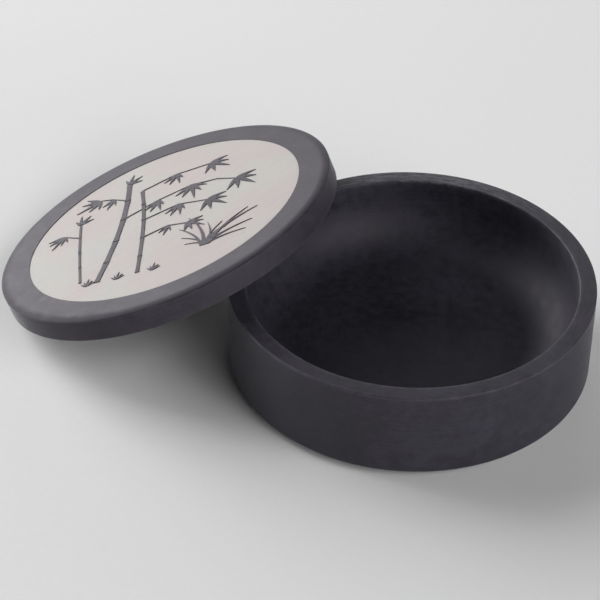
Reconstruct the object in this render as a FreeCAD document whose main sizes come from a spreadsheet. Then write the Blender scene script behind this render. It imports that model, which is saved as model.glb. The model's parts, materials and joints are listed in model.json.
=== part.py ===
import FreeCAD, Part
import math
import os

import Sketcher

# A round stone box for grinding ink: a turned bowl with a coved well, and a loose lid that leans
# with its underside on the bowl's rim and its low edge on the table.
# Millimetres, +Z up. The origin is the centre of the bowl's flat base, and -Y faces the viewer.

doc = FreeCAD.newDocument("inkstone")
sheet = doc.addObject("Spreadsheet::Sheet", "Sizes")

# Every size that can be chosen by itself, in millimetres or degrees
driving_sizes = {
    # bowl
    "bowl_radius": 65.0,          # outer wall of the bowl, and of the lid that closes flush with it
    "bowl_height": 35.5,          # table to rim
    "rim_width": 6.0,             # flat rim, and so the wall beside the mouth of the well
    "floor_thickness": 10.0,      # stone left under the grinding floor
    "cove_radius": 18.0,          # large curve between the floor and the wall of the well
    "base_bevel": 3.0,            # outer edge of the base
    "rim_bevel": 0.6,             # outer edge of the rim
    "mouth_bevel": 0.4,           # inner edge of the rim, which leads the lid's register in
    # lid
    "lid_thickness": 9.0,         # underside of the flange to the top face
    "lid_roll_width": 3.0,        # how far in from its edge the lid's top face begins to roll off
    "lid_roll_drop": 0.7,         # how far the top has rolled off where the arris begins
    "lid_arris_bevel": 0.3,       # narrow bevel between the rolled top and the side
    "lid_foot_bevel": 0.5,        # lower edge of the lid's flange
    "register_height": 1.5,       # shallow disc under the lid that drops into the mouth of the well
    "register_clearance": 0.4,    # gap all round between the register and the wall of the well
    "register_bevel": 0.5,        # lead-in on the register's edge
    "lid_border": 11.6,           # dark ring left round the field that is ground down to pale stone
    "ground_depth": 0.25,         # how far the field lies below the lid's top face
    # how the lid leans
    "lean_angle": 22.5,           # slope of the lid, in degrees
    "lean_heading": 162.0,        # side of the bowl that it leans from, in degrees from +X
    "lean_side_shift": 2.5,       # how far the lid sits off the bowl's middle line, towards +Y
    "rim_clearance": 0.1,         # gap between the lid's register and the rim it rests on
    "table_clearance": 0.05,      # gap between the lid's low edge and the table
}
for row, (name, value) in enumerate(driving_sizes.items(), start=1):
    sheet.set("A%d" % row, name)
    sheet.set("B%d" % row, str(value))
    sheet.setAlias("B%d" % row, name)
doc.recompute()

# Sizes that follow from them
WELL_RADIUS = "(Sizes.bowl_radius - Sizes.rim_width)"
REGISTER_RADIUS = "(Sizes.bowl_radius - Sizes.rim_width - Sizes.register_clearance)"
GROUND_RADIUS = "(Sizes.bowl_radius - Sizes.lid_border)"
SAME = 1e-6         # two lengths closer than this are the same length
FULL_TURN = 360.0   # degrees


def size(name):
    """A size as it stands in the sheet."""
    return float(sheet.get(name))


def origin_plane(body, role):
    """One of a body's own three origin planes, such as XY_Plane."""
    return next(plane for plane in body.Origin.OriginFeatures if plane.Role == role)


def new_body(name):
    """A body for one stone, whose label names its node and its file."""
    body = doc.addObject("PartDesign::Body", name)
    body.Label = name
    return body


def new_sketch(body, name, role):
    """A sketch on one of the body's own origin planes."""
    sketch = body.newObject("Sketcher::SketchObject", name)
    sketch.AttachmentSupport = [(origin_plane(body, role), "")]
    sketch.MapMode = "FlatFace"
    return sketch


def disc_sketch(body, name, radius_expression):
    """A circle about the body's axis, whose radius follows the sheet."""
    sketch = new_sketch(body, name, "XY_Plane")
    sketch.addGeometry(Part.Circle(FreeCAD.Vector(0, 0, 0), FreeCAD.Vector(0, 0, 1), size("bowl_radius")))
    sketch.addConstraint(Sketcher.Constraint("Coincident", 0, 3, -1, 1))
    sketch.addConstraint(Sketcher.Constraint("Radius", 0, size("bowl_radius")))
    sketch.renameConstraint(1, "disc_radius")
    sketch.setExpression("Constraints.disc_radius", radius_expression)
    return sketch


def disc_pad(body, name, radius_expression, length_expression, downwards=False):
    """A solid disc that stands on the body's XY plane, or hangs below it."""
    sketch = disc_sketch(body, name + "_outline", radius_expression)
    pad = body.newObject("PartDesign::Pad", name)
    pad.Profile = sketch
    pad.Reversed = downwards
    pad.setExpression("Length", length_expression)
    doc.recompute()


def round_edges(shape, radius, height):
    """Names of the circular edges of this radius, about the Z axis, at this height."""
    names = []
    for number, edge in enumerate(shape.Edges, start=1):
        if not isinstance(edge.Curve, Part.Circle):
            continue
        same_radius = abs(edge.Curve.Radius - radius) < SAME
        same_height = abs(edge.Curve.Center.z - height) < SAME
        if same_radius and same_height:
            names.append("Edge%d" % number)
    return names


def bevel_edge(body, name, radius, height, size_name):
    """Bevels one round edge of the body by a size of the sheet."""
    below = body.Tip
    bevel = body.newObject("PartDesign::Chamfer", name)
    bevel.Base = (below, round_edges(below.Shape, radius, height))
    bevel.setExpression("Size", "Sizes." + size_name)
    doc.recompute()


def bind_lengths(sketch, bound):
    """Binds each listed length of a sketch to the sheet."""
    for label, (kind, first, first_end, second, second_end, value, expression) in bound.items():
        index = sketch.addConstraint(Sketcher.Constraint(kind, first, first_end, second, second_end, value))
        sketch.renameConstraint(index, label)
        sketch.setExpression("Constraints." + label, expression)


def well_sketch(body):
    """Half section of the well: flat floor, cove, straight wall and open mouth."""
    floor = size("floor_thickness")
    wall = size("bowl_radius") - size("rim_width")
    cove = size("cove_radius")
    mouth = size("bowl_height")
    sketch = new_sketch(body, "well_section", "XZ_Plane")
    axis_foot = FreeCAD.Vector(0, floor, 0)
    cove_foot = FreeCAD.Vector(wall - cove, floor, 0)
    cove_head = FreeCAD.Vector(wall, floor + cove, 0)
    wall_head = FreeCAD.Vector(wall, mouth, 0)
    axis_head = FreeCAD.Vector(0, mouth, 0)
    cove_circle = Part.Circle(FreeCAD.Vector(wall - cove, floor + cove, 0), FreeCAD.Vector(0, 0, 1), cove)
    floor_line = sketch.addGeometry(Part.LineSegment(axis_foot, cove_foot))
    cove_arc = sketch.addGeometry(Part.ArcOfCircle(cove_circle, -math.pi / 2, 0))
    wall_line = sketch.addGeometry(Part.LineSegment(cove_head, wall_head))
    mouth_line = sketch.addGeometry(Part.LineSegment(wall_head, axis_head))
    axis_line = sketch.addGeometry(Part.LineSegment(axis_head, axis_foot))
    sketch.addConstraint(Sketcher.Constraint("Tangent", floor_line, 2, cove_arc, 1))
    sketch.addConstraint(Sketcher.Constraint("Tangent", cove_arc, 2, wall_line, 1))
    sketch.addConstraint(Sketcher.Constraint("Coincident", wall_line, 2, mouth_line, 1))
    sketch.addConstraint(Sketcher.Constraint("Coincident", mouth_line, 2, axis_line, 1))
    sketch.addConstraint(Sketcher.Constraint("Coincident", axis_line, 2, floor_line, 1))
    sketch.addConstraint(Sketcher.Constraint("Horizontal", floor_line))
    sketch.addConstraint(Sketcher.Constraint("Horizontal", mouth_line))
    sketch.addConstraint(Sketcher.Constraint("Vertical", wall_line))
    sketch.addConstraint(Sketcher.Constraint("PointOnObject", axis_line, 1, -2))
    sketch.addConstraint(Sketcher.Constraint("PointOnObject", axis_line, 2, -2))
    bind_lengths(sketch, {
        "floor_height": ("DistanceY", -1, 1, floor_line, 1, floor, "Sizes.floor_thickness"),
        "mouth_height": ("DistanceY", -1, 1, axis_line, 1, mouth, "Sizes.bowl_height"),
        "wall_reach": ("DistanceX", -1, 1, wall_line, 2, wall, WELL_RADIUS),
    })
    index = sketch.addConstraint(Sketcher.Constraint("Radius", cove_arc, cove))
    sketch.renameConstraint(index, "cove_curve")
    sketch.setExpression("Constraints.cove_curve", "Sizes.cove_radius")
    doc.recompute()
    return sketch


def flange_sketch(body):
    """Half section of the lid's flange: flat below, straight side, and a top that rolls off."""
    reach = size("bowl_radius")
    top = size("lid_thickness")
    width = size("lid_roll_width")
    drop = size("lid_roll_drop")
    arris = size("lid_arris_bevel")
    roll_run = width - arris
    roll_radius = (roll_run * roll_run + drop * drop) / (2 * drop)
    sketch = new_sketch(body, "flange_section", "XZ_Plane")
    axis_foot = FreeCAD.Vector(0, 0, 0)
    side_foot = FreeCAD.Vector(reach, 0, 0)
    side_head = FreeCAD.Vector(reach, top - drop - arris, 0)
    roll_foot = FreeCAD.Vector(reach - arris, top - drop, 0)
    roll_head = FreeCAD.Vector(reach - width, top, 0)
    axis_head = FreeCAD.Vector(0, top, 0)
    roll_centre = FreeCAD.Vector(reach - width, top - roll_radius, 0)
    roll_circle = Part.Circle(roll_centre, FreeCAD.Vector(0, 0, 1), roll_radius)
    roll_start = math.atan2(roll_radius - drop, roll_run)
    foot_line = sketch.addGeometry(Part.LineSegment(axis_foot, side_foot))
    side_line = sketch.addGeometry(Part.LineSegment(side_foot, side_head))
    arris_line = sketch.addGeometry(Part.LineSegment(side_head, roll_foot))
    roll_arc = sketch.addGeometry(Part.ArcOfCircle(roll_circle, roll_start, math.pi / 2))
    top_line = sketch.addGeometry(Part.LineSegment(roll_head, axis_head))
    axis_line = sketch.addGeometry(Part.LineSegment(axis_head, axis_foot))
    sketch.addConstraint(Sketcher.Constraint("Coincident", foot_line, 1, -1, 1))
    sketch.addConstraint(Sketcher.Constraint("Coincident", foot_line, 2, side_line, 1))
    sketch.addConstraint(Sketcher.Constraint("Coincident", side_line, 2, arris_line, 1))
    sketch.addConstraint(Sketcher.Constraint("Coincident", arris_line, 2, roll_arc, 1))
    sketch.addConstraint(Sketcher.Constraint("Tangent", roll_arc, 2, top_line, 1))
    sketch.addConstraint(Sketcher.Constraint("Coincident", top_line, 2, axis_line, 1))
    sketch.addConstraint(Sketcher.Constraint("Coincident", axis_line, 2, foot_line, 1))
    sketch.addConstraint(Sketcher.Constraint("Horizontal", foot_line))
    sketch.addConstraint(Sketcher.Constraint("Horizontal", top_line))
    sketch.addConstraint(Sketcher.Constraint("Vertical", side_line))
    sketch.addConstraint(Sketcher.Constraint("Vertical", axis_line))
    bind_lengths(sketch, {
        "side_reach": ("DistanceX", -1, 1, side_line, 2, reach, "Sizes.bowl_radius"),
        "top_height": ("DistanceY", -1, 1, axis_line, 1, top, "Sizes.lid_thickness"),
        "roll_width": ("DistanceX", roll_arc, 2, side_line, 2, width, "Sizes.lid_roll_width"),
        "roll_drop": ("DistanceY", roll_arc, 1, roll_arc, 2, drop, "Sizes.lid_roll_drop"),
        "arris_width": ("DistanceX", arris_line, 2, arris_line, 1, arris, "Sizes.lid_arris_bevel"),
        "arris_depth": ("DistanceY", arris_line, 1, arris_line, 2, arris, "Sizes.lid_arris_bevel"),
    })
    doc.recompute()
    return sketch


def turned(body, kind, name, section):
    """Turns a half section about the body's axis, to add stone or to cut it away."""
    feature = body.newObject("PartDesign::" + kind, name)
    feature.Profile = section
    feature.ReferenceAxis = (section, ["V_Axis"])
    feature.Angle = FULL_TURN
    doc.recompute()


def stop_if_nothing_cut(body, before):
    """Stops the build if a cut took nothing away from the volume before it."""
    if body.Shape.Volume >= before:
        raise RuntimeError("a cut in %s removed nothing" % body.Label)


# The bowl: a turned block with straight sides and a coved well cut down into it
bowl = new_body("inkstone_bowl")
disc_pad(bowl, "block", "Sizes.bowl_radius", "Sizes.bowl_height")
block_volume = bowl.Shape.Volume
turned(bowl, "Groove", "well", well_sketch(bowl))
stop_if_nothing_cut(bowl, block_volume)

# Its edges are stoned off at the base, the rim and the mouth
mouth_radius = size("bowl_radius") - size("rim_width")
bevel_edge(bowl, "base_edge", size("bowl_radius"), 0.0, "base_bevel")
bevel_edge(bowl, "rim_edge", size("bowl_radius"), size("bowl_height"), "rim_bevel")
bevel_edge(bowl, "mouth_edge", mouth_radius, size("bowl_height"), "mouth_bevel")

# The lid, drawn level with the underside of its flange on its own XY plane
lid = new_body("inkstone_lid")
turned(lid, "Revolution", "flange", flange_sketch(lid))
disc_pad(lid, "register", REGISTER_RADIUS, "Sizes.register_height", downwards=True)

# The field on top, ground down to the pale stone
solid_volume = lid.Shape.Volume
field = disc_sketch(lid, "ground_field_outline", GROUND_RADIUS)
field.setExpression("AttachmentOffset.Base.z", "Sizes.lid_thickness")
ground_field = lid.newObject("PartDesign::Pocket", "ground_field")
ground_field.Profile = field
ground_field.setExpression("Length", "Sizes.ground_depth")
doc.recompute()
stop_if_nothing_cut(lid, solid_volume)

# Its lower edges: a crisp one on the flange, and a lead-in on the register
bevel_edge(lid, "foot_edge", size("bowl_radius"), 0.0, "lid_foot_bevel")
bevel_edge(lid, "register_edge", mouth_radius - size("register_clearance"),
           -size("register_height"), "register_bevel")

# The lean. The lid's origin lies at rise above the table and at reach from the bowl's axis, so that
# the low edge of the flange stands on the table and the register's face rests on the rim.
slope_sine = "sin(Sizes.lean_angle * 1deg)"
slope_cosine = "cos(Sizes.lean_angle * 1deg)"
heading_sine = "sin(Sizes.lean_heading * 1deg)"
heading_cosine = "cos(Sizes.lean_heading * 1deg)"
rise = "(Sizes.table_clearance + (Sizes.bowl_radius - Sizes.lid_foot_bevel) * " + slope_sine + ")"
seat = "(Sizes.rim_clearance + Sizes.register_height)"
above_rim = "(" + rise + " - Sizes.bowl_height)"
reach = (
    "(Sizes.bowl_radius - Sizes.rim_bevel"
    " + (" + seat + " - " + above_rim + " * " + slope_cosine + ") / " + slope_sine + ")"
)
lid.setExpression("Placement.Base.x", reach + " * " + heading_cosine
                  + " + Sizes.lean_side_shift * " + heading_sine)
lid.setExpression("Placement.Base.y", reach + " * " + heading_sine
                  + " - Sizes.lean_side_shift * " + heading_cosine)
lid.setExpression("Placement.Base.z", rise)
lid.setExpression("Placement.Rotation.Axis.x", "-" + heading_sine)
lid.setExpression("Placement.Rotation.Axis.y", heading_cosine)
lid.setExpression("Placement.Rotation.Axis.z", "0")
lid.setExpression("Placement.Rotation.Angle", "Sizes.lean_angle * 1deg")
doc.recompute()

# Everything is checked before anything is written
for item in doc.Objects:
    if "Invalid" in item.State or "Error" in item.State:
        raise RuntimeError("%s failed: %s" % (item.Label, item.State))
stones = [bowl, lid]
for stone in stones:
    if stone.Shape.isNull() or not stone.Shape.isValid():
        raise RuntimeError("%s has no valid shape" % stone.Label)

os.makedirs("parts", exist_ok=True)
for stone in stones:
    stone.Shape.exportStep(os.path.join("parts", stone.Label + ".step"))
    box = stone.Shape.optimalBoundingBox(False, False)
    print(stone.Label, "volume", round(stone.Shape.Volume, 1),
          "box", [round(value, 3) for value in (box.XMin, box.YMin, box.ZMin, box.XMax, box.YMax, box.ZMax)])
print("gap between the stones", round(bowl.Shape.distToShape(lid.Shape)[0], 4))
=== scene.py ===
import json
import math

import bmesh
import bpy
from mathutils import Matrix, Vector

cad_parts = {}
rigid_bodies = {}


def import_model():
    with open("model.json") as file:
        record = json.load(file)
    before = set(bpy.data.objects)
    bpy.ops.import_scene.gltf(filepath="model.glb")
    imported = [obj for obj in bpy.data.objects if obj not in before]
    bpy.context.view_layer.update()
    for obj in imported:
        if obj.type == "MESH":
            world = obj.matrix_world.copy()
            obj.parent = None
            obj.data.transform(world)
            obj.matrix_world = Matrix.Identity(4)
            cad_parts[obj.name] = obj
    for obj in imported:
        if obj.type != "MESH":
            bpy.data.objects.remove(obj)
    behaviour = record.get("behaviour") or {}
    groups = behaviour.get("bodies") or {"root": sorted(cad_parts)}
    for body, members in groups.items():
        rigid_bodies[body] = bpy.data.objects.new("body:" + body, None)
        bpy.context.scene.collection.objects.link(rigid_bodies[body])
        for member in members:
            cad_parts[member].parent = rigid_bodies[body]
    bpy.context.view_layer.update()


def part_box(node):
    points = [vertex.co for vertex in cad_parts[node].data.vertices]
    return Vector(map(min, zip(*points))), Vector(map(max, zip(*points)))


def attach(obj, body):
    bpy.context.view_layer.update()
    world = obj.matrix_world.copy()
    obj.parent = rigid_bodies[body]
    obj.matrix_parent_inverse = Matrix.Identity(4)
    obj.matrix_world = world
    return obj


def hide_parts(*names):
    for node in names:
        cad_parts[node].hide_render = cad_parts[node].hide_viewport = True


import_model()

# The bowl of the ink box. It is turned from one block of dark ink stone: a straight outer wall, a
# flat rim, and a well that curves down in a cove to a flat grinding floor. The stone is honed and
# waxed, and its edges have worn to a lighter grey.
ROUND = 288           # sides of every turned circle
ON_HEIGHT = 0.00005   # how close a corner lies to a height to count as on it
ON_RADIUS = 0.0002    # the same for a radius, which an inset leaves a little off
UPRIGHT = 0.99        # how nearly a flat end faces straight up or down
CREASE = 40           # degrees; faces that meet more sharply keep a crisp edge
FLAT_WEIGHT = 60      # how strongly a large flat face keeps its own shading
bowl_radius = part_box("inkstone_bowl")[1].x
bowl_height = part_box("inkstone_bowl")[1].z
rim_width = 0.006
well_radius = bowl_radius - rim_width
floor_thickness = 0.010
cove_radius = 0.018
rim_bevel = 0.0006
mouth_bevel = 0.0004
base_bevel = 0.003
base_arris = 0.0007   # how far the two edges of the base bevel are worn round


def turned_blank(name, radius, height):
    """A plain round blank that stands on the plane z = 0, open in edit mode."""
    bpy.ops.object.select_all(action="DESELECT")
    bpy.ops.mesh.primitive_cylinder_add(
        vertices=ROUND, radius=radius, depth=height, location=(0, 0, height / 2))
    blank = bpy.context.object
    blank.name = name
    blank.data.name = name
    bpy.ops.object.transform_apply(location=True, rotation=True, scale=True)
    bpy.ops.object.mode_set(mode="EDIT")
    return blank


def pick_flat(piece, height, facing):
    """Selects the flat end at this height, which faces up (1) or down (-1)."""
    bpy.ops.mesh.select_mode(type="FACE")
    bpy.ops.mesh.select_all(action="DESELECT")
    mesh = bmesh.from_edit_mesh(piece.data)
    for face in mesh.faces:
        face.select_set(face.normal.z * facing > UPRIGHT
                        and abs(face.calc_center_median().z - height) < ON_HEIGHT
                        and len(face.verts) == ROUND)
    bmesh.update_edit_mesh(piece.data)


def ease_ring(piece, radius, height, size, steps):
    """Bevels the ring of edges at this radius and height."""
    bpy.ops.mesh.select_mode(type="EDGE")
    bpy.ops.mesh.select_all(action="DESELECT")
    mesh = bmesh.from_edit_mesh(piece.data)
    for edge in mesh.edges:
        edge.select_set(all(
            abs(corner.co.xy.length - radius) < ON_RADIUS
            and abs(corner.co.z - height) < ON_HEIGHT for corner in edge.verts))
    mesh.select_flush_mode()
    bmesh.update_edit_mesh(piece.data)
    bpy.ops.mesh.bevel(offset=size, offset_type="OFFSET", segments=steps, profile=0.5,
                       affect="EDGES", clamp_overlap=False)


def finish_shading():
    """Closes edit mode and shades the turned faces smooth, with the flats kept flat."""
    bpy.ops.object.mode_set(mode="OBJECT")
    bpy.ops.object.shade_smooth_by_angle(angle=math.radians(CREASE))
    flats = bpy.context.object.modifiers.new("keep_flats", "WEIGHTED_NORMAL")
    flats.keep_sharp = True
    flats.weight = FLAT_WEIGHT
    bpy.ops.object.modifier_apply(modifier=flats.name)


bowl = turned_blank("stone_bowl", bowl_radius, bowl_height)
pick_flat(bowl, bowl_height, 1)
bpy.ops.mesh.inset(thickness=rim_width, depth=0)
bpy.ops.mesh.extrude_region_move(
    TRANSFORM_OT_translate={"value": (0, 0, floor_thickness - bowl_height)})
ease_ring(bowl, well_radius, floor_thickness, cove_radius, steps=24)
ease_ring(bowl, well_radius, bowl_height, mouth_bevel, steps=3)
ease_ring(bowl, bowl_radius, bowl_height, rim_bevel, steps=3)
ease_ring(bowl, bowl_radius, 0, base_bevel, steps=1)
ease_ring(bowl, bowl_radius, base_bevel, base_arris, steps=3)
ease_ring(bowl, bowl_radius - base_bevel, 0, base_arris, steps=3)
finish_shading()

# What the honed stone looks like close to: cloudy mottle, fine grain, rare pale specks, and the
# faint rings that the lathe and the polishing grit leave round every turned face.
NUMBER, COLOUR, VECTOR = "NodeSocketFloat", "NodeSocketColor", "NodeSocketVector"
MIX_SHARE, MIX_FIRST, MIX_SECOND, MIX_RESULT = 0, 6, 7, 2   # a Mix node's sockets for colours
cloud_scale = 32      # this and every other scale of a pattern is in cells a metre
mottle_scale = 300
grain_scale = 1900
ring_scale = 1500
speck_scale = 700
speck_patch_scale = 90
ring_wander = 0.004   # metres; how far the clouds push the rings out of true
speck_colour = (0.10, 0.098, 0.104, 1)
speck_strength = 0.5
MIDDLE = 0.5          # the middle of a noise pattern's range


def new_group(name, inputs, outputs):
    """A shader node group with these named inputs and outputs, and its two end nodes."""
    group = bpy.data.node_groups.new(name, "ShaderNodeTree")
    for label, kind in inputs.items():
        group.interface.new_socket(name=label, in_out="INPUT", socket_type=kind)
    for label, kind in outputs.items():
        group.interface.new_socket(name=label, in_out="OUTPUT", socket_type=kind)
    return group, group.nodes.new("NodeGroupInput"), group.nodes.new("NodeGroupOutput")


def feed(tree, term, socket):
    """Gives a socket its value: a number or colour is set on it, another socket is linked."""
    if isinstance(term, (int, float, tuple)):
        socket.default_value = term
    else:
        tree.links.new(term, socket)


def join(tree, *pairs):
    """Links each pair of sockets in this node tree."""
    for source, target in pairs:
        tree.links.new(source, target)


def maths(tree, operation, first, *others, clamp=False):
    """Works through the terms from left to right with Math nodes. Returns the last output."""
    value = first
    for other in others or [None]:
        node = tree.nodes.new("ShaderNodeMath")
        node.operation = operation
        feed(tree, value, node.inputs[0])
        if other is not None:
            feed(tree, other, node.inputs[1])
        value = node.outputs[0]
    node.use_clamp = clamp
    return value


def weighted(tree, *shares):
    """The sum of some values, each times its weight."""
    return maths(tree, "ADD", *[maths(tree, "MULTIPLY", value, weight)
                                for value, weight in shares])


def noise(tree, where, scale, detail, roughness=0.5, distortion=0.0, dimensions="3D"):
    """A noise pattern at this many cells a metre. Returns its value."""
    node = tree.nodes.new("ShaderNodeTexNoise")
    node.noise_dimensions = dimensions
    node.inputs["Scale"].default_value = scale
    node.inputs["Detail"].default_value = detail
    node.inputs["Roughness"].default_value = roughness
    node.inputs["Distortion"].default_value = distortion
    tree.links.new(where, node.inputs["W" if dimensions == "1D" else "Vector"])
    return node.outputs["Fac"]


def spread(tree, value, low, high, to_low=0.0, to_high=1.0):
    """Maps a value smoothly from one range to another, held at the ends. Returns the result."""
    node = tree.nodes.new("ShaderNodeMapRange")
    node.interpolation_type = "SMOOTHSTEP"
    for label, term in (("Value", value), ("From Min", low), ("From Max", high),
                        ("To Min", to_low), ("To Max", to_high)):
        feed(tree, term, node.inputs[label])
    return node.outputs["Result"]


def blend_colours(tree, share, first, second, mode="MIX"):
    """Mixes two colours by this share. Returns the colour."""
    node = tree.nodes.new("ShaderNodeMix")
    node.data_type = "RGBA"
    node.blend_type = mode
    feed(tree, share, node.inputs[MIX_SHARE])
    feed(tree, first, node.inputs[MIX_FIRST])
    feed(tree, second, node.inputs[MIX_SECOND])
    return node.outputs[MIX_RESULT]


def split(tree, where):
    """The three numbers of a place, as sockets."""
    parts = tree.nodes.new("ShaderNodeSeparateXYZ")
    tree.links.new(where, parts.inputs[0])
    return parts.outputs


def distance(tree, x, y):
    """How far these two numbers lie from nought, taken together."""
    return maths(tree, "SQRT", maths(tree, "ADD", maths(tree, "MULTIPLY", x, x),
                                     maths(tree, "MULTIPLY", y, y)))


honed_stone, start, end = new_group(
    "honed_stone",
    {"Vector": VECTOR, "Dark": COLOUR, "Light": COLOUR, "Rings": NUMBER, "Roughness": NUMBER},
    {"Colour": COLOUR, "Roughness": NUMBER, "Height": NUMBER})
place = start.outputs["Vector"]
x, y, height_here = split(honed_stone, place)
radius_here = distance(honed_stone, x, y)
cloud = noise(honed_stone, place, cloud_scale, detail=4, roughness=0.6, distortion=0.4)
mottle = noise(honed_stone, place, mottle_scale, detail=5, roughness=0.68)
grain = noise(honed_stone, place, grain_scale, detail=3, roughness=0.65)
ring_place = maths(honed_stone, "ADD", radius_here, height_here,
                   maths(honed_stone, "MULTIPLY", cloud, ring_wander))
ring_line = noise(honed_stone, ring_place, ring_scale, detail=3, dimensions="1D")
rings = maths(honed_stone, "MULTIPLY", maths(honed_stone, "SUBTRACT", ring_line, MIDDLE),
              start.outputs["Rings"])
speck = honed_stone.nodes.new("ShaderNodeTexVoronoi")
speck.inputs["Scale"].default_value = speck_scale
join(honed_stone, (place, speck.inputs["Vector"]))
specks = maths(
    honed_stone, "MULTIPLY", spread(honed_stone, speck.outputs["Distance"], low=0.10, high=0.05),
    spread(honed_stone, noise(honed_stone, place, speck_patch_scale, detail=2),
           low=0.55, high=0.7), speck_strength)
tone = weighted(honed_stone, (cloud, 0.30), (mottle, 0.45), (grain, 0.25), (rings, 0.5))
body_colour = blend_colours(honed_stone, spread(honed_stone, tone, low=0.38, high=0.62),
                            start.outputs["Dark"], start.outputs["Light"])
uneven_gloss = weighted(honed_stone, (maths(honed_stone, "SUBTRACT", mottle, MIDDLE), 0.45),
                        (maths(honed_stone, "SUBTRACT", grain, MIDDLE), 0.35), (rings, 0.12))
join(honed_stone,
     (blend_colours(honed_stone, specks, body_colour, speck_colour), end.inputs["Colour"]),
     (maths(honed_stone, "ADD", start.outputs["Roughness"], uneven_gloss, clamp=True),
      end.inputs["Roughness"]),
     (weighted(honed_stone, (grain, 0.5), (mottle, 0.5), (rings, 1.0)), end.inputs["Height"]))

# Where a turned edge has been rubbed and knocked, the wax is gone and the stone dust shows pale.
# The mask follows one edge of the piece, given by its radius and height, and breaks up in patches.
patch_scale = 220
RUBBED_ROUGHER = 0.12   # what full rubbing adds to the stone's roughness
rubbed_edge, start, end = new_group(
    "rubbed_edge",
    {"Vector": VECTOR, "Radius": NUMBER, "Height": NUMBER, "Width": NUMBER, "Amount": NUMBER},
    {"Mask": NUMBER})
place = start.outputs["Vector"]
x, y, height_here = split(rubbed_edge, place)
radius_here = distance(rubbed_edge, x, y)
off_edge = distance(
    rubbed_edge, maths(rubbed_edge, "SUBTRACT", radius_here, start.outputs["Radius"]),
    maths(rubbed_edge, "SUBTRACT", height_here, start.outputs["Height"]))
close = spread(rubbed_edge, off_edge, low=start.outputs["Width"], high=0.0)
patches = spread(rubbed_edge, noise(rubbed_edge, place, patch_scale, detail=7, roughness=0.75),
                 low=0.36, high=0.64, to_low=0.25)
join(rubbed_edge, (maths(rubbed_edge, "MULTIPLY", close, patches, start.outputs["Amount"],
                         clamp=True), end.inputs["Mask"]))


def new_material(name):
    """A material with only its output and a Principled shader. Returns material, tree, shader."""
    material = bpy.data.materials.new(name)
    material.use_nodes = True
    tree = material.node_tree
    tree.nodes.clear()
    shader = tree.nodes.new("ShaderNodeBsdfPrincipled")
    output = tree.nodes.new("ShaderNodeOutputMaterial")
    tree.links.new(shader.outputs[0], output.inputs["Surface"])
    return material, tree, shader


def own_place(tree, centre=(0, 0, 0), turn=(0, 0, 0)):
    """Object coordinates, centred on the piece and turned to its axis."""
    source = tree.nodes.new("ShaderNodeTexCoord")
    mapping = tree.nodes.new("ShaderNodeMapping")
    mapping.vector_type = "TEXTURE"
    mapping.inputs["Location"].default_value = centre
    mapping.inputs["Rotation"].default_value = turn
    tree.links.new(source.outputs["Object"], mapping.inputs["Vector"])
    return mapping.outputs[0]


def put_group(tree, group, place, **values):
    """Places a group in a material with its own values."""
    node = tree.nodes.new("ShaderNodeGroup")
    node.node_tree = group
    tree.links.new(place, node.inputs["Vector"])
    for label, value in values.items():
        node.inputs[label].default_value = value
    return node


def add_bump(tree, shader, height, strength, depth):
    """Gives the surface a fine relief from this height pattern, depth in metres."""
    bump = tree.nodes.new("ShaderNodeBump")
    bump.inputs["Strength"].default_value = strength
    bump.inputs["Distance"].default_value = depth
    join(tree, (height, bump.inputs["Height"]), (bump.outputs[0], shader.inputs["Normal"]))


def dark_stone(name, place_of, marks_of, edges, dark, light, worn, roughness, rings):
    """The honed dark ink stone, with each listed edge (radius, height, width, amount) rubbed.

    marks_of gives the piece's own mask for the worn colour (on the bowl it holds a painted sheen
    too), and what is added to its roughness.
    """
    material, tree, shader = new_material(name)
    where = place_of(tree)
    stone = put_group(tree, honed_stone, where, Dark=dark, Light=light, Rings=rings,
                      Roughness=roughness)
    mask, rougher = marks_of(tree, where)
    for radius, height, width, amount in edges:
        edge = put_group(tree, rubbed_edge, where, Radius=radius, Height=height, Width=width,
                         Amount=amount)
        mask = maths(tree, "MAXIMUM", mask, edge.outputs["Mask"])
    join(tree, (blend_colours(tree, mask, stone.outputs["Colour"], worn),
                shader.inputs["Base Color"]),
         (maths(tree, "ADD", stone.outputs["Roughness"], rougher,
                maths(tree, "MULTIPLY", mask, RUBBED_ROUGHER)), shader.inputs["Roughness"]))
    add_bump(tree, shader, stone.outputs["Height"], strength=0.25, depth=0.00006)
    shader.inputs["Specular IOR Level"].default_value = 0.45
    shader.inputs["Specular Tint"].default_value = (0.98, 0.93, 1.0, 1)
    shader.inputs["Sheen Weight"].default_value = 0.30
    shader.inputs["Sheen Roughness"].default_value = 0.25
    return material


# The marks that only the bowl has. Its rim is rubbed pale in streaks that run round it, and the
# pale colour grows towards the back, where it is a painted sheen; its well is left unwaxed so that
# it can grind.
streak_scale = 1300
STREAK_RUN = 0.12     # how fast the streaks change round the rim, against across it
scuff_scale = 420
back_sheen_from, back_sheen_to = 0.030, 0.066   # how far back the painted sheen begins and is at its most
# how much worn colour the rim gets at the front and at the back; the rise to the back is a painted
# sheen
rub_and_sheen_front, rub_and_sheen_back = 0.10, 1.00
WELL_ROUGHER = 0.04   # what the unwaxed well adds to the stone's roughness
unwaxed_from, unwaxed_to = 0.0002, -0.0006   # metres beyond the mouth where this begins, ends


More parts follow.
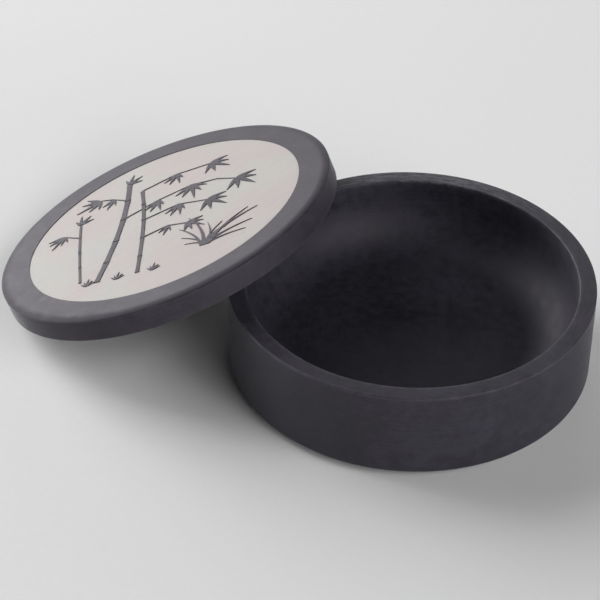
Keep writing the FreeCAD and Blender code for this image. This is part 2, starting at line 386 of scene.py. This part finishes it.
def bowl_marks(tree, where):
    """The rubbed rim, with a painted sheen that grows towards the back, as a mask, and the
    roughness that the well adds.
    """
    x, y, height = split(tree, where)
    radius = distance(tree, x, y)
    on_rim = spread(tree, height, low=bowl_height - 2 * rim_bevel, high=bowl_height - mouth_bevel)
    # painted sheen: the rim gets more and more of the pale worn colour towards the back
    back_sheen = spread(tree, y, low=back_sheen_from, high=back_sheen_to, to_low=rub_and_sheen_front, to_high=rub_and_sheen_back)
    round_rim = tree.nodes.new("ShaderNodeCombineXYZ")
    join(tree, (maths(tree, "MULTIPLY", x, STREAK_RUN), round_rim.inputs[0]),
         (maths(tree, "MULTIPLY", y, STREAK_RUN), round_rim.inputs[1]),
         (radius, round_rim.inputs[2]))
    streaks = spread(
        tree, noise(tree, round_rim.outputs[0], streak_scale, detail=4, roughness=0.7),
        low=0.40, high=0.62, to_low=0.15, to_high=1.5)
    scuffs = spread(tree, noise(tree, where, scuff_scale, detail=8, roughness=0.8),
                    low=0.36, high=0.64, to_low=0.5, to_high=1.2)
    rubbed_and_sheen = maths(tree, "MULTIPLY", maths(tree, "MULTIPLY", on_rim, back_sheen),
                   maths(tree, "MULTIPLY", scuffs, streaks), clamp=True)
    in_well = spread(tree, radius, low=well_radius + unwaxed_from, high=well_radius + unwaxed_to,
                     to_high=WELL_ROUGHER)
    return rubbed_and_sheen, maths(tree, "MULTIPLY", in_well, maths(tree, "SUBTRACT", 1.0, on_rim))


# Besides the real wear, the worn colour here paints the sheen on the back of the rim.
bowl.data.materials.append(dark_stone(
    "bowl_dark_stone", own_place, bowl_marks,
    [(bowl_radius, bowl_height, 0.0017, 0.46), (well_radius, bowl_height, 0.0024, 0.48),
     (bowl_radius, 0.0, 0.0016, 0.4)],
    dark=(0.0155, 0.0144, 0.0212, 1), light=(0.0360, 0.0336, 0.0470, 1),
    worn=(0.105, 0.101, 0.117, 1), roughness=0.58, rings=0.28))
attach(bowl, "bowl")
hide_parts("inkstone_bowl")

# The lid, turned from the same block. It lies off the bowl, its low edge on the table and its
# underside on the bowl's rim. A round field on top is ground a little down to the pale inner
# stone, and a low register under it drops into the mouth of the well when the box is shut.
lid_thickness = 0.009
lid_roll_width = 0.003   # how far in from its edge the lid's top begins to roll off
lid_roll_drop = 0.0007   # how far it has rolled off where the arris begins
lid_arris_bevel = 0.0003
arris_wear = 0.00012     # how far the arris is worn round
ROLL_STEPS = 8
lid_foot_bevel = 0.0005
register_height = 0.0015
register_radius = well_radius - 0.0004
register_bevel = 0.0005
lid_border = 0.0116
field_radius = bowl_radius - lid_border
field_depth = 0.00025
field_edge_wear = 0.00008
lean = math.radians(22.5)
heading = math.radians(162)
side_shift = 0.0025
rim_clearance = 0.0001
table_clearance = 0.00005

lid_rise = table_clearance + (bowl_radius - lid_foot_bevel) * math.sin(lean)
lid_reach = (bowl_radius - rim_bevel + (rim_clearance + register_height
             - (lid_rise - bowl_height) * math.cos(lean)) / math.sin(lean))
towards = Vector((math.cos(heading), math.sin(heading), 0))
beside = Vector((math.sin(heading), -math.cos(heading), 0))
lid_centre = lid_reach * towards + side_shift * beside + Vector((0, 0, lid_rise))
lid_turn = Matrix.Rotation(lean, 4, Vector((-math.sin(heading), math.cos(heading), 0)))

side_height = lid_thickness - lid_roll_drop - lid_arris_bevel
roll_run = lid_roll_width - lid_arris_bevel
roll_radius = (roll_run ** 2 + lid_roll_drop ** 2) / (2 * lid_roll_drop)
roll_angle = math.asin(roll_run / roll_radius)
lid = turned_blank("stone_lid", bowl_radius, side_height)
pick_flat(lid, side_height, 1)
bpy.ops.mesh.inset(thickness=lid_arris_bevel, depth=lid_arris_bevel)
for step in range(ROLL_STEPS, 0, -1):
    outer = roll_angle * step / ROLL_STEPS
    inner = roll_angle * (step - 1) / ROLL_STEPS
    bpy.ops.mesh.inset(thickness=roll_radius * (math.sin(outer) - math.sin(inner)),
                       depth=roll_radius * (math.cos(inner) - math.cos(outer)))
bpy.ops.mesh.inset(thickness=lid_border - lid_roll_width, depth=0)
bpy.ops.mesh.extrude_region_move(TRANSFORM_OT_translate={"value": (0, 0, -field_depth)})
pick_flat(lid, 0, -1)
bpy.ops.mesh.inset(thickness=bowl_radius - register_radius, depth=0)
bpy.ops.mesh.extrude_region_move(TRANSFORM_OT_translate={"value": (0, 0, -register_height)})
ease_ring(lid, bowl_radius, side_height, arris_wear, steps=2)
ease_ring(lid, bowl_radius, 0, lid_foot_bevel, steps=3)
ease_ring(lid, register_radius, -register_height, register_bevel, steps=3)
ease_ring(lid, field_radius, lid_thickness, field_edge_wear, steps=2)
pick_flat(lid, lid_thickness - field_depth, 1)
DARK_SLOT, PALE_SLOT = 0, 1
lid.data.materials.append(None)
lid.data.materials.append(None)
lid.active_material_index = PALE_SLOT
bpy.ops.object.material_slot_assign()
finish_shading()


def lay_on_lid(piece):
    """Puts a piece made in the lid's own frame where the lid lies, with its place in its mesh."""
    bpy.ops.object.select_all(action="DESELECT")
    bpy.context.view_layer.objects.active = piece
    piece.select_set(True)
    piece.matrix_world = Matrix.Translation(lid_centre) @ lid_turn
    bpy.ops.object.transform_apply(location=True, rotation=True, scale=True)


lay_on_lid(lid)

smear_scale = 70
ROLL_ROUGHER = 0.20   # what hands have added to the roughness of the rolled edge
dulled_from, dulled_to = 0.0039, 0.001   # metres in from the lid's side where this begins, ends


def lid_place(tree):
    """Object coordinates in the lid's own frame."""
    return own_place(tree, lid_centre, lid_turn.to_euler())


def lid_marks(tree, where):
    """Stone dust in faint smears on the border, and the roll at its edge rubbed dull by hands."""
    x, y, height = split(tree, where)
    on_top = spread(tree, height, low=side_height, high=side_height + lid_arris_bevel)
    smears = spread(tree, noise(tree, where, smear_scale, detail=8, roughness=0.72),
                    low=0.46, high=0.70, to_high=0.34)
    dulled = spread(tree, distance(tree, x, y), low=bowl_radius - dulled_from,
                    high=bowl_radius - dulled_to, to_high=ROLL_ROUGHER)
    return maths(tree, "MULTIPLY", on_top, smears), maths(tree, "MULTIPLY", on_top, dulled)


lid_stone = dark_stone(
    "lid_dark_stone", lid_place, lid_marks,
    [(bowl_radius, side_height, 0.0010, 0.30), (bowl_radius, 0.0, 0.0010, 0.5),
     (field_radius, lid_thickness, 0.0004, 0.4), (register_radius, -register_height, 0.001, 0.5)],
    dark=(0.0172, 0.0145, 0.0217, 1), light=(0.0380, 0.0322, 0.0462, 1),
    worn=(0.085, 0.081, 0.096, 1), roughness=0.58, rings=0.5)

# The pale inner stone of the ground field: pinkish and greenish clouds, with the fine scratches
# that the grit leaves all in one direction.
field_cloud_scale = 26
scratch_scale = 900
scratch_stretch = 12   # how many times longer than wide a scratch is
scratch_turn = math.radians(28)
field_grain_scale = 3000
greenish = (0.425, 0.412, 0.390, 1)
pinkish = (0.436, 0.385, 0.376, 1)
field_stone, tree, shader = new_material("field_pale_stone")
where = lid_place(tree)
clouds = spread(
    tree, noise(tree, where, field_cloud_scale, detail=3, roughness=0.55, distortion=0.5),
    low=0.38, high=0.62)
stretched = tree.nodes.new("ShaderNodeMapping")
stretched.vector_type = "TEXTURE"
stretched.inputs["Rotation"].default_value = (0, 0, scratch_turn)
stretched.inputs["Scale"].default_value = (scratch_stretch, 1, 1)
join(tree, (where, stretched.inputs["Vector"]))
scratches = noise(tree, stretched.outputs[0], scratch_scale, detail=3, roughness=0.6)
fine = noise(tree, where, field_grain_scale, detail=2, roughness=0.6)
shade = spread(tree, weighted(tree, (scratches, 0.6), (fine, 0.4)),
               low=0.3, high=0.7, to_low=0.90, to_high=1.06)
tint = tree.nodes.new("ShaderNodeCombineColor")
for channel in tint.inputs:
    tree.links.new(shade, channel)
join(tree, (blend_colours(tree, 1.0, blend_colours(tree, clouds, greenish, pinkish),
                          tint.outputs[0], "MULTIPLY"), shader.inputs["Base Color"]),
     (spread(tree, scratches, low=0.3, high=0.7, to_low=0.55, to_high=0.72),
      shader.inputs["Roughness"]))
add_bump(tree, shader, scratches, strength=0.3, depth=0.00008)

lid.data.materials[DARK_SLOT] = lid_stone
lid.data.materials[PALE_SLOT] = field_stone
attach(lid, "lid")
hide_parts("inkstone_lid")

# The raised design on the lid. Before the pale field was ground down, the dark skin was masked
# off in the shape of bamboo beside a clump of grass, so the design stands as high as the border
# and is the lid's own stone. It is a plain pattern: culms in joints, twigs, leaves and blades.
MILLIMETRE = 0.001
sunk = 0.00005         # how far the design's foot reaches into the field, so that no gap shows
design_foot = lid_thickness - field_depth - sunk
design_top = lid_thickness
leaf_width = 0.17      # these five are shares of the leaf's or blade's own length
leaf_tip = 0.012
leaf_droop = 0.10
blade_width = 0.055
blade_tip = 0.006
blade_bend = 0.34
leaf_fullness = 0.65   # under 1 puts the widest part of a leaf nearer its foot
blade_fullness = 2.2   # the higher, the longer a blade keeps its width
culm_waist = 0.80      # a culm's width between its knots, against its width at a knot
culm_flare = 6         # the higher, the shorter the flare at a knot
twig_taper = 0.45
ON_COLUMN = 0.1        # of a column's width; how close a corner lies to count as on it


def pick_corners(piece, wanted):
    """Selects only the corners that pass the test."""
    bpy.ops.mesh.select_mode(type="VERT")
    bpy.ops.mesh.select_all(action="DESELECT")
    mesh = bmesh.from_edit_mesh(piece.data)
    for corner in mesh.verts:
        corner.select_set(wanted(corner.co))
    mesh.select_flush_mode()
    bmesh.update_edit_mesh(piece.data)


def raised_pattern(name, columns, width_at, shift_at=lambda share: 0.0):
    """A raised shape from x = 0 to x = 1, drawn by its width and its sideways shift along x."""
    bpy.ops.object.select_all(action="DESELECT")
    bpy.ops.mesh.primitive_grid_add(x_subdivisions=columns, y_subdivisions=1, size=1)
    pattern = bpy.context.object
    pattern.name = name
    bpy.ops.object.mode_set(mode="EDIT")
    bpy.ops.transform.translate(value=(0.5, 0, 0))
    for column in range(columns + 1):
        share = column / columns
        pick_corners(pattern, lambda at: abs(at.x - share) < ON_COLUMN / columns)
        bpy.ops.transform.resize(value=(1, width_at(share), 1), center_override=(0, 0, 0))
        bpy.ops.transform.translate(value=(0, shift_at(share), 0))
    bpy.ops.mesh.select_all(action="SELECT")
    bpy.ops.transform.translate(value=(0, 0, design_foot))
    bpy.ops.mesh.extrude_region_move(
        TRANSFORM_OT_translate={"value": (0, 0, design_top - design_foot)})
    bpy.ops.mesh.select_all(action="SELECT")
    bpy.ops.mesh.normals_make_consistent(inside=False)
    bpy.ops.object.mode_set(mode="OBJECT")
    return pattern


def blade_width_at(share):
    """A blade of grass keeps its width for most of its length and ends in a point."""
    return max(blade_tip, blade_width * (1.0 - share ** blade_fullness))


leaf = raised_pattern(
    "bamboo_leaf", columns=9,
    width_at=lambda share: max(leaf_tip, leaf_width * math.sin(math.pi * share ** leaf_fullness)),
    shift_at=lambda share: -leaf_droop * share ** 2)
culm_joint = raised_pattern(
    "culm_joint", columns=8,
    width_at=lambda share: culm_waist + (1 - culm_waist) * (2 * abs(share - 0.5)) ** culm_flare)
twig = raised_pattern("twig", columns=2, width_at=lambda share: 1.0 - twig_taper * share)
left_blade = raised_pattern("left_blade", columns=12, width_at=blade_width_at,
                            shift_at=lambda share: blade_bend * share ** 2)
right_blade = raised_pattern("right_blade", columns=12, width_at=blade_width_at,
                             shift_at=lambda share: -blade_bend * share ** 2)

relief_parts = bpy.data.collections.new("relief_parts")
bpy.context.scene.collection.children.link(relief_parts)


def place_copy(pattern, start, direction, length, width):
    """Copies a pattern, with its own mesh, to a place on the field, all in millimetres."""
    shape = pattern.data.copy()
    shape.transform(
        Matrix.Translation((start[0] * MILLIMETRE, start[1] * MILLIMETRE, 0))
        @ Matrix.Rotation(direction, 4, "Z")
        @ Matrix.Diagonal((length * MILLIMETRE, width * MILLIMETRE, 1, 1)))
    relief_parts.objects.link(bpy.data.objects.new(pattern.name, shape))


def place_between(pattern, start, finish, width, gap=0.0):
    """Copies a pattern so that it runs from one point to another, less a gap at each end."""
    run = Vector(finish) - Vector(start)
    along = run.normalized()
    place_copy(pattern, Vector(start) + gap * along, math.atan2(run.y, run.x),
               run.length - 2 * gap, width)


longest = 1.05        # the middle leaf of a fan, against the fan's own length
outer_shorter = 0.7   # how much shorter the leaves grow towards the sides of a fan
every_other_shorter = 0.12
leaf_plumpness = 0.9
every_other_plumper = 0.15


def place_leaves(foot, heading, count, spread_angle, length):
    """A fan of leaves from one foot, the middle ones longest."""
    for number in range(count):
        share = number / (count - 1) - 0.5
        odd = number % 2
        place_copy(
            leaf, foot, math.radians(heading + share * spread_angle),
            length * (longest - outer_shorter * abs(share) - every_other_shorter * odd),
            length * (leaf_plumpness + every_other_plumper * odd))


knot_gap = 0.3   # millimetres of bare field left at each end of a joint of a culm
culms = [(2.5, [(-20, -37), (-18.6, -24), (-17.6, -9), (-17.4, 7), (-18.2, 22), (-19.8, 36)]),
         (1.7, [(-4, -38), (-5, -26), (-6.4, -12), (-8.2, 2), (-10.4, 15), (-13, 27)]),
         (1.1, [(-27, -34), (-29.5, -22), (-32, -10), (-34.2, 2), (-36, 13)])]
for width, joints in culms:
    for lower, upper in zip(joints, joints[1:]):
        place_between(culm_joint, lower, upper, width, knot_gap)
twig_width, twig_thins = 0.55, 0.15
twigs = [[(-17.4, 7.3), (-5, 15), (8, 20)], [(-18.2, 22.3), (-25, 27), (-31, 29)],
         [(-8.2, 2.3), (5, 7), (17, 4)], [(-13, 27), (0, 33), (14, 34)],
         [(-34.2, 2.2), (-42, 7)], [(-6.4, -11.8), (3, -8), (11, -10)],
         [(8, 20), (19, 19), (27, 15)]]
for points in twigs:
    for number, (first, last) in enumerate(zip(points, points[1:])):
        place_between(twig, first, last, twig_width - twig_thins * number)
# Each fan's foot, heading in degrees, number of leaves, angle that it covers, and length.
leaf_fans = [((27, 15), -38, 5, 125, 11.5), ((8, 20), -70, 5, 110, 11), ((-5, 15), -80, 4, 80, 9.5),
             ((-31, 29), -140, 5, 125, 10), ((17, 4), -35, 5, 120, 11), ((5, 7), -85, 4, 80, 9.5),
             ((14, 34), -30, 5, 120, 10.5), ((0, 33), -80, 4, 85, 9), ((-42, 7), -105, 5, 100, 8.5),
             ((-19.8, 36.3), 70, 4, 120, 7.5), ((-36, 13.3), 85, 4, 110, 7.5),
             ((11, -10), -30, 5, 110, 9), ((-25, 27), -95, 3, 60, 8), ((3, -8), -90, 3, 60, 7),
             ((-12, -38.5), 90, 5, 110, 4.6), ((-24, -37.5), 90, 5, 110, 4.6),
             ((2, -39), 90, 5, 110, 4.6)]
for fan in leaf_fans:
    place_leaves(*fan)
# Each blade of the clump of grass, its heading in degrees and its length. The blades stand in
# columns and rows, a little apart, about one place.
clump_place = (21, -31)
clump_columns, column_step = 5, 0.7
clump_rows, row_step = 3, 0.25
grass = [(left_blade, 104, 19), (left_blade, 92, 24), (left_blade, 120, 13), (left_blade, 78, 16),
         (right_blade, 76, 22), (right_blade, 62, 25), (right_blade, 48, 19), (right_blade, 90, 14),
         (right_blade, 32, 14), (left_blade, 138, 10), (right_blade, 68, 12)]
for number, (blade, blade_heading, length) in enumerate(grass):
    foot = (clump_place[0] + column_step * (number % clump_columns - clump_columns // 2),
            clump_place[1] + row_step * (number % clump_rows))
    place_copy(blade, foot, math.radians(blade_heading), length, length)

relief = relief_parts.objects[0]
bpy.context.scene.collection.objects.link(relief)
relief_parts.objects.unlink(relief)
relief.name = "bamboo_relief"
bpy.ops.object.select_all(action="DESELECT")
bpy.context.view_layer.objects.active = relief
relief.select_set(True)
fused = relief.modifiers.new("one_skin", "BOOLEAN")
fused.operand_type = "COLLECTION"
fused.collection = relief_parts
fused.operation = "UNION"
fused.solver = "EXACT"
bpy.ops.object.modifier_apply(modifier=fused.name)
for spare in [leaf, culm_joint, twig, left_blade, right_blade, *relief_parts.objects]:
    bpy.data.objects.remove(spare)
bpy.data.collections.remove(relief_parts)
lay_on_lid(relief)
relief.data.materials.clear()
relief.data.materials.append(lid_stone)
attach(relief, "lid")

# The plain table that the box stands on: one wide sheet of pale matt board, laid flat. It is the
# stage for the picture and no part of the box.
table_side = 12
table_grain_scale = 400
table_dark, table_light = (0.86, 0.86, 0.86, 1), (0.89, 0.89, 0.89, 1)
bpy.ops.object.select_all(action="DESELECT")
bpy.ops.mesh.primitive_plane_add(size=table_side, location=(0, 0, 0))
table_top = bpy.context.object
table_top.name = "table_top"
table_paint, tree, shader = new_material("table_paint")
table_grain = noise(tree, own_place(tree), table_grain_scale, detail=2)
join(tree, (blend_colours(tree, table_grain, table_dark, table_light),
            shader.inputs["Base Color"]))
shader.inputs["Roughness"].default_value = 0.85
shader.inputs["Specular IOR Level"].default_value = 0.1
table_top.data.materials.append(table_paint)

# The soft light of a small studio: a low bank of windows behind the box on the left, one window
# above it, weaker ones to the right, and paler fill from the front. Each has its azimuth and
# elevation in degrees, and its power in watts.
air_light = 0.005
soft_box_side = 1.4
soft_box_distance = 2.6
lit_point = Vector((-0.04, 0, 0.02))
world = bpy.data.worlds.new("studio_air")
bpy.context.scene.world = world
world.use_nodes = True
world.node_tree.nodes["Background"].inputs["Color"].default_value = (1.0, 1.0, 1.0, 1)
world.node_tree.nodes["Background"].inputs["Strength"].default_value = air_light
for name, azimuth, elevation, power in (
        ("window_left", 165, 12, 20.5), ("window_middle", 150, 12, 37.0),
        ("window_right", 135, 12, 37.8), ("window_above", 150, 38, 23.3),
        ("back_right", 90, 12, 13.8), ("back_far_right", 60, 12, 1.3),
        ("fill_front", 311, 12, 24.0), ("fill_front_high", 300, 38, 5.5),
        ("fill_right", 330, 12, 3.8), ("fill_right_high", 330, 38, 19.0)):
    light = bpy.data.lights.new(name, "AREA")
    light.shape = "SQUARE"
    light.size = soft_box_side
    light.energy = power
    lamp = bpy.data.objects.new(name, light)
    bpy.context.scene.collection.objects.link(lamp)
    turn, rise = math.radians(azimuth), math.radians(elevation)
    away = Vector((math.cos(turn) * math.cos(rise), math.sin(turn) * math.cos(rise),
                   math.sin(rise)))
    lamp.location = lit_point + away * soft_box_distance
    lamp.rotation_mode = "QUATERNION"
    lamp.rotation_quaternion = (-away).to_track_quat("-Z", "Y")

# The camera, where the photograph was taken from. It stands in front of the box and above it, and
# looks down at it through a long lens.
photo_eye = Vector((0.0, -0.57899, 0.48610))
photo_aim = Vector((-0.04010, 0.00843, 0.01625))
photo_roll = math.radians(0.255)
photo_lens = 124.65   # millimetres, on a sensor 36 mm wide
forward = (photo_aim - photo_eye).normalized()
right = forward.cross(Vector((0, 0, 1))).normalized()
up = right.cross(forward)
across = math.cos(photo_roll) * right + math.sin(photo_roll) * up
upward = math.cos(photo_roll) * up - math.sin(photo_roll) * right
camera_data = bpy.data.cameras.new("photo_camera")
camera_data.sensor_width = 36
camera_data.lens = photo_lens
camera_data.clip_start = 0.01
camera_data.clip_end = 20
camera = bpy.data.objects.new("photo_camera", camera_data)
bpy.context.scene.collection.objects.link(camera)
camera.matrix_world = Matrix.Translation(photo_eye) @ Matrix(
    (across, upward, -forward)).transposed().to_4x4()
bpy.context.scene.camera = camera
bpy.context.scene.view_settings.view_transform = "Standard"
